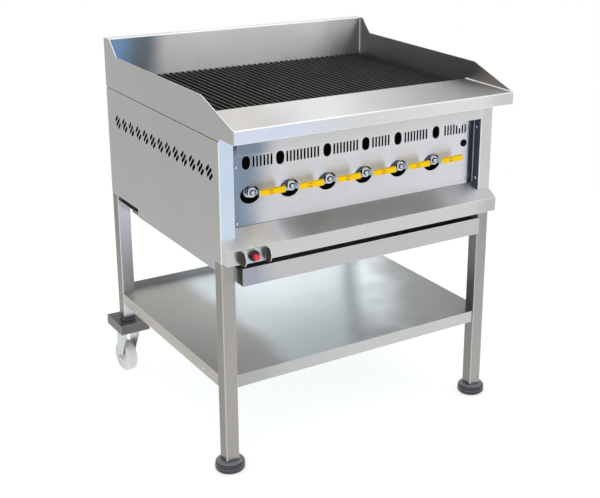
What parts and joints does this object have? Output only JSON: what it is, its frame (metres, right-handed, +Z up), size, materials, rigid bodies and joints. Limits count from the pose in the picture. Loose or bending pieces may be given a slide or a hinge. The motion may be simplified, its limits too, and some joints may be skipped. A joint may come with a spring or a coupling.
{
  "type": "charbroiler grill",
  "caption": "Gas charbroiler grill on a stand with a lower shelf: splash-sided top, cast grates, tap levers, drip tray, feet in front and swivel casters behind.",
  "frame": {"origin": "centre of the bounding box, on the floor", "axes": "+Z up; the front, with the control panel, faces -Y; +X is to the right when seen from the front"},
  "size_m": [0.955, 0.8886, 1.1],
  "materials": {
    "stainless": "brushed stainless sheet",
    "bright_stainless": "bright stainless sheet, nearly mirror-like",
    "aluminised": "dull aluminised sheet",
    "cast_iron": "seasoned black iron",
    "brass": "machined",
    "chrome": "polished plating",
    "yellow_grip": "semi-gloss",
    "black_plastic": "satin",
    "red_button": "glossy",
    "pipe": "dull grey steel pipe",
    "rubber": "satin moulded rubber",
    "zinc": "zinc plated",
    "nylon": "off-white moulded nylon"
  },
  "bodies": {
    "stand": {"deck_plate": "stainless", "left_side_shield": "stainless", "right_side_shield": "stainless", "rear_splashback": "stainless", "left_side_panel": "stainless", "right_side_panel": "stainless", "back_panel": "stainless", "apron_ledge": "stainless", "left_tray_runner": "stainless", "right_tray_runner": "stainless", "front_left_leg": "stainless", "front_right_leg": "stainless", "rear_left_leg": "stainless", "rear_right_leg": "stainless", "lower_shelf": "stainless", "rear_left_caster_housing": "stainless", "rear_right_caster_housing": "stainless", "fascia_band": "bright_stainless", "control_panel": "bright_stainless", "igniter_guard": "bright_stainless", "firebox": "aluminised", "radiant_rack": "cast_iron", "burner_1": "cast_iron", "burner_2": "cast_iron", "burner_3": "cast_iron", "burner_4": "cast_iron", "burner_5": "cast_iron", "burner_6": "cast_iron", "valve_1": "brass", "valve_2": "brass", "valve_3": "brass", "valve_4": "brass", "valve_5": "brass", "valve_6": "brass", "panel_plug": "black_plastic", "igniter_body": "black_plastic", "gas_manifold": "pipe", "front_left_foot": "rubber", "front_right_foot": "rubber"},
    "tap_lever_1": {"lever_1": "chrome", "lever_grip_1": "yellow_grip"},
    "tap_lever_2": {"lever_2": "chrome", "lever_grip_2": "yellow_grip"},
    "tap_lever_3": {"lever_3": "chrome", "lever_grip_3": "yellow_grip"},
    "tap_lever_4": {"lever_4": "chrome", "lever_grip_4": "yellow_grip"},
    "tap_lever_5": {"lever_5": "chrome", "lever_grip_5": "yellow_grip"},
    "tap_lever_6": {"lever_6": "chrome", "lever_grip_6": "yellow_grip"},
    "button": {"igniter_button": "red_button"},
    "grate_1": {"grate_1": "cast_iron"},
    "grate_2": {"grate_2": "cast_iron"},
    "grate_3": {"grate_3": "cast_iron"},
    "drip_tray": {"drip_tray": "stainless"},
    "rear_left_fork": {"rear_left_caster_fork": "zinc"},
    "rear_left_wheel": {"rear_left_caster_wheel": "nylon"},
    "rear_right_fork": {"rear_right_caster_fork": "zinc"},
    "rear_right_wheel": {"rear_right_caster_wheel": "nylon"}
  },
  "joints": [
    {"name": "tap_lever_1_turn", "type": "hinge", "parent": "stand", "child": "tap_lever_1", "pos_m": [-0.346, -0.33934, 0.7955], "axis": [0, 1, 0], "range_deg": [0, 90]},
    {"name": "tap_lever_2_turn", "type": "hinge", "parent": "stand", "child": "tap_lever_2", "pos_m": [-0.2265, -0.33934, 0.7955], "axis": [0, 1, 0], "range_deg": [0, 90]},
    {"name": "tap_lever_3_turn", "type": "hinge", "parent": "stand", "child": "tap_lever_3", "pos_m": [-0.107, -0.33934, 0.7955], "axis": [0, 1, 0], "range_deg": [0, 90]},
    {"name": "tap_lever_4_turn", "type": "hinge", "parent": "stand", "child": "tap_lever_4", "pos_m": [0.0125, -0.33934, 0.7955], "axis": [0, 1, 0], "range_deg": [0, 90]},
    {"name": "tap_lever_5_turn", "type": "hinge", "parent": "stand", "child": "tap_lever_5", "pos_m": [0.132, -0.33934, 0.7955], "axis": [0, 1, 0], "range_deg": [0, 90]},
    {"name": "tap_lever_6_turn", "type": "hinge", "parent": "stand", "child": "tap_lever_6", "pos_m": [0.2515, -0.33934, 0.7955], "axis": [0, 1, 0], "range_deg": [0, 90]},
    {"name": "igniter_press", "type": "slide", "parent": "stand", "child": "button", "axis": [0, 1, 0], "range_m": [0, 0.005], "stiffness_N_per_m": 200, "springref_m": -0.002},
    {"name": "grate_1_lift", "type": "slide", "parent": "stand", "child": "grate_1", "axis": [0, 0, 1], "range_m": [0, 0.15]},
    {"name": "grate_2_lift", "type": "slide", "parent": "stand", "child": "grate_2", "axis": [0, 0, 1], "range_m": [0, 0.15]},
    {"name": "grate_3_lift", "type": "slide", "parent": "stand", "child": "grate_3", "axis": [0, 0, 1], "range_m": [0, 0.15]},
    {"name": "drip_tray_slide", "type": "slide", "parent": "stand", "child": "drip_tray", "axis": [0, -1, 0], "range_m": [0, 0.55]},
    {"name": "rear_left_swivel", "type": "hinge", "parent": "stand", "child": "rear_left_fork", "pos_m": [-0.43, 0.36566, 0.15], "axis": [0, 0, 1], "continuous": true},
    {"name": "rear_left_roll", "type": "hinge", "parent": "rear_left_fork", "child": "rear_left_wheel", "pos_m": [-0.43195, 0.39359, 0.05], "axis": [0.9976, 0.0698, 0], "continuous": true},
    {"name": "rear_right_swivel", "type": "hinge", "parent": "stand", "child": "rear_right_fork", "pos_m": [0.43, 0.36566, 0.15], "axis": [0, 0, 1], "continuous": true},
    {"name": "rear_right_roll", "type": "hinge", "parent": "rear_right_fork", "child": "rear_right_wheel", "pos_m": [0.42805, 0.39359, 0.05], "axis": [0.9976, 0.0698, 0], "continuous": true}
  ]
}
